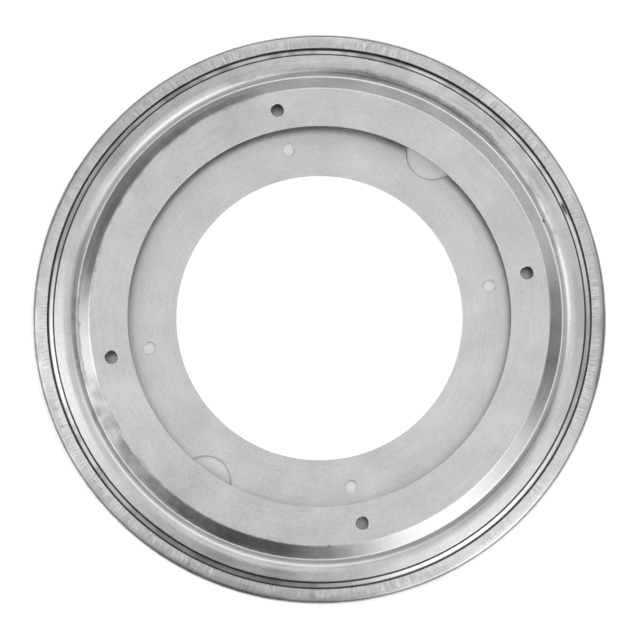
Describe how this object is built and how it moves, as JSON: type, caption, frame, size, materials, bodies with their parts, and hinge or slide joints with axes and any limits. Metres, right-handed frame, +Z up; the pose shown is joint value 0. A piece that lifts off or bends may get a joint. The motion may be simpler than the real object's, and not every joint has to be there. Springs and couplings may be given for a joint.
{
  "type": "lazy susan turntable bearing",
  "caption": "Flat round turntable bearing: two pressed steel ring plates that turn freely on a caged ring of balls, with screw holes in both plates.",
  "frame": {"origin": "on the turning axis, at the underside of the lower plate", "axes": "+Z up along the turning axis, from the lower plate to the upper plate; +X and +Y each pass through a screw hole of the lower plate"},
  "size_m": [0.2286, 0.2286, 0.0085],
  "materials": {
    "lower_sheet": "galvanised, satin, with radial press marks on the rolled lip",
    "upper_sheet": "galvanised, satin, burnished along the pressed ridges",
    "retainer_strip": "plain rolled strip, lightly greased",
    "ball_steel": "polished ball steel"
  },
  "bodies": {
    "lower_plate": {"lower_plate": "lower_sheet"},
    "upper_plate": {"upper_plate": "upper_sheet"},
    "retainer": {"ball_retainer": "retainer_strip"},
    "ball_01": {"ball_01": "ball_steel"},
    "ball_02": {"ball_02": "ball_steel"},
    "ball_03": {"ball_03": "ball_steel"},
    "ball_04": {"ball_04": "ball_steel"},
    "ball_05": {"ball_05": "ball_steel"},
    "ball_06": {"ball_06": "ball_steel"},
    "ball_07": {"ball_07": "ball_steel"},
    "ball_08": {"ball_08": "ball_steel"},
    "ball_09": {"ball_09": "ball_steel"},
    "ball_10": {"ball_10": "ball_steel"},
    "ball_11": {"ball_11": "ball_steel"},
    "ball_12": {"ball_12": "ball_steel"},
    "ball_13": {"ball_13": "ball_steel"},
    "ball_14": {"ball_14": "ball_steel"},
    "ball_15": {"ball_15": "ball_steel"},
    "ball_16": {"ball_16": "ball_steel"},
    "ball_17": {"ball_17": "ball_steel"},
    "ball_18": {"ball_18": "ball_steel"},
    "ball_19": {"ball_19": "ball_steel"},
    "ball_20": {"ball_20": "ball_steel"},
    "ball_21": {"ball_21": "ball_steel"},
    "ball_22": {"ball_22": "ball_steel"},
    "ball_23": {"ball_23": "ball_steel"},
    "ball_24": {"ball_24": "ball_steel"}
  },
  "joints": [
    {"name": "upper_plate_spin", "type": "hinge", "parent": "lower_plate", "child": "upper_plate", "pos_m": [0, 0, 0.00425], "axis": [0, 0, 1], "continuous": true},
    {"name": "retainer_spin", "type": "hinge", "parent": "lower_plate", "child": "retainer", "pos_m": [0, 0, 0.00425], "axis": [0, 0, 1], "continuous": true},
    {"name": "ball_01_roll", "type": "hinge", "parent": "retainer", "child": "ball_01", "pos_m": [0.1014, 0, 0.00425], "axis": [1, 0, 0], "continuous": true},
    {"name": "ball_02_roll", "type": "hinge", "parent": "retainer", "child": "ball_02", "pos_m": [0.09794, 0.02624, 0.00425], "axis": [0.9659, 0.2588, 0], "continuous": true},
    {"name": "ball_03_roll", "type": "hinge", "parent": "retainer", "child": "ball_03", "pos_m": [0.08782, 0.0507, 0.00425], "axis": [0.866, 0.5, 0], "continuous": true},
    {"name": "ball_04_roll", "type": "hinge", "parent": "retainer", "child": "ball_04", "pos_m": [0.0717, 0.0717, 0.00425], "axis": [0.7071, 0.7071, 0], "continuous": true},
    {"name": "ball_05_roll", "type": "hinge", "parent": "retainer", "child": "ball_05", "pos_m": [0.0507, 0.08782, 0.00425], "axis": [0.5, 0.866, 0], "continuous": true},
    {"name": "ball_06_roll", "type": "hinge", "parent": "retainer", "child": "ball_06", "pos_m": [0.02624, 0.09794, 0.00425], "axis": [0.2588, 0.9659, 0], "continuous": true},
    {"name": "ball_07_roll", "type": "hinge", "parent": "retainer", "child": "ball_07", "pos_m": [0, 0.1014, 0.00425], "axis": [0, 1, 0], "continuous": true},
    {"name": "ball_08_roll", "type": "hinge", "parent": "retainer", "child": "ball_08", "pos_m": [-0.02624, 0.09794, 0.00425], "axis": [-0.2588, 0.9659, 0], "continuous": true},
    {"name": "ball_09_roll", "type": "hinge", "parent": "retainer", "child": "ball_09", "pos_m": [-0.0507, 0.08782, 0.00425], "axis": [-0.5, 0.866, 0], "continuous": true},
    {"name": "ball_10_roll", "type": "hinge", "parent": "retainer", "child": "ball_10", "pos_m": [-0.0717, 0.0717, 0.00425], "axis": [-0.7071, 0.7071, 0], "continuous": true},
    {"name": "ball_11_roll", "type": "hinge", "parent": "retainer", "child": "ball_11", "pos_m": [-0.08782, 0.0507, 0.00425], "axis": [-0.866, 0.5, 0], "continuous": true},
    {"name": "ball_12_roll", "type": "hinge", "parent": "retainer", "child": "ball_12", "pos_m": [-0.09794, 0.02624, 0.00425], "axis": [-0.9659, 0.2588, 0], "continuous": true},
    {"name": "ball_13_roll", "type": "hinge", "parent": "retainer", "child": "ball_13", "pos_m": [-0.1014, 0, 0.00425], "axis": [-1, 0, 0], "continuous": true},
    {"name": "ball_14_roll", "type": "hinge", "parent": "retainer", "child": "ball_14", "pos_m": [-0.09794, -0.02624, 0.00425], "axis": [-0.9659, -0.2588, 0], "continuous": true},
    {"name": "ball_15_roll", "type": "hinge", "parent": "retainer", "child": "ball_15", "pos_m": [-0.08782, -0.0507, 0.00425], "axis": [-0.866, -0.5, 0], "continuous": true},
    {"name": "ball_16_roll", "type": "hinge", "parent": "retainer", "child": "ball_16", "pos_m": [-0.0717, -0.0717, 0.00425], "axis": [-0.7071, -0.7071, 0], "continuous": true},
    {"name": "ball_17_roll", "type": "hinge", "parent": "retainer", "child": "ball_17", "pos_m": [-0.0507, -0.08782, 0.00425], "axis": [-0.5, -0.866, 0], "continuous": true},
    {"name": "ball_18_roll", "type": "hinge", "parent": "retainer", "child": "ball_18", "pos_m": [-0.02624, -0.09794, 0.00425], "axis": [-0.2588, -0.9659, 0], "continuous": true},
    {"name": "ball_19_roll", "type": "hinge", "parent": "retainer", "child": "ball_19", "pos_m": [0, -0.1014, 0.00425], "axis": [0, -1, 0], "continuous": true},
    {"name": "ball_20_roll", "type": "hinge", "parent": "retainer", "child": "ball_20", "pos_m": [0.02624, -0.09794, 0.00425], "axis": [0.2588, -0.9659, 0], "continuous": true},
    {"name": "ball_21_roll", "type": "hinge", "parent": "retainer", "child": "ball_21", "pos_m": [0.0507, -0.08782, 0.00425], "axis": [0.5, -0.866, 0], "continuous": true},
    {"name": "ball_22_roll", "type": "hinge", "parent": "retainer", "child": "ball_22", "pos_m": [0.0717, -0.0717, 0.00425], "axis": [0.7071, -0.7071, 0], "continuous": true},
    {"name": "ball_23_roll", "type": "hinge", "parent": "retainer", "child": "ball_23", "pos_m": [0.08782, -0.0507, 0.00425], "axis": [0.866, -0.5, 0], "continuous": true},
    {"name": "ball_24_roll", "type": "hinge", "parent": "retainer", "child": "ball_24", "pos_m": [0.09794, -0.02624, 0.00425], "axis": [0.9659, -0.2588, 0], "continuous": true}
  ],
  "couplings": [
    {"joint": "retainer_spin", "follows": "upper_plate_spin", "ratio": 0.5},
    {"joint": "ball_01_roll", "follows": "upper_plate_spin", "ratio": -25.542},
    {"joint": "ball_02_roll", "follows": "upper_plate_spin", "ratio": -25.542},
    {"joint": "ball_03_roll", "follows": "upper_plate_spin", "ratio": -25.542},
    {"joint": "ball_04_roll", "follows": "upper_plate_spin", "ratio": -25.542},
    {"joint": "ball_05_roll", "follows": "upper_plate_spin", "ratio": -25.542},
    {"joint": "ball_06_roll", "follows": "upper_plate_spin", "ratio": -25.542},
    {"joint": "ball_07_roll", "follows": "upper_plate_spin", "ratio": -25.542},
    {"joint": "ball_08_roll", "follows": "upper_plate_spin", "ratio": -25.542},
    {"joint": "ball_09_roll", "follows": "upper_plate_spin", "ratio": -25.542},
    {"joint": "ball_10_roll", "follows": "upper_plate_spin", "ratio": -25.542},
    {"joint": "ball_11_roll", "follows": "upper_plate_spin", "ratio": -25.542},
    {"joint": "ball_12_roll", "follows": "upper_plate_spin", "ratio": -25.542},
    {"joint": "ball_13_roll", "follows": "upper_plate_spin", "ratio": -25.542},
    {"joint": "ball_14_roll", "follows": "upper_plate_spin", "ratio": -25.542},
    {"joint": "ball_15_roll", "follows": "upper_plate_spin", "ratio": -25.542},
    {"joint": "ball_16_roll", "follows": "upper_plate_spin", "ratio": -25.542},
    {"joint": "ball_17_roll", "follows": "upper_plate_spin", "ratio": -25.542},
    {"joint": "ball_18_roll", "follows": "upper_plate_spin", "ratio": -25.542},
    {"joint": "ball_19_roll", "follows": "upper_plate_spin", "ratio": -25.542},
    {"joint": "ball_20_roll", "follows": "upper_plate_spin", "ratio": -25.542},
    {"joint": "ball_21_roll", "follows": "upper_plate_spin", "ratio": -25.542},
    {"joint": "ball_22_roll", "follows": "upper_plate_spin", "ratio": -25.542},
    {"joint": "ball_23_roll", "follows": "upper_plate_spin", "ratio": -25.542},
    {"joint": "ball_24_roll", "follows": "upper_plate_spin", "ratio": -25.542}
  ]
}
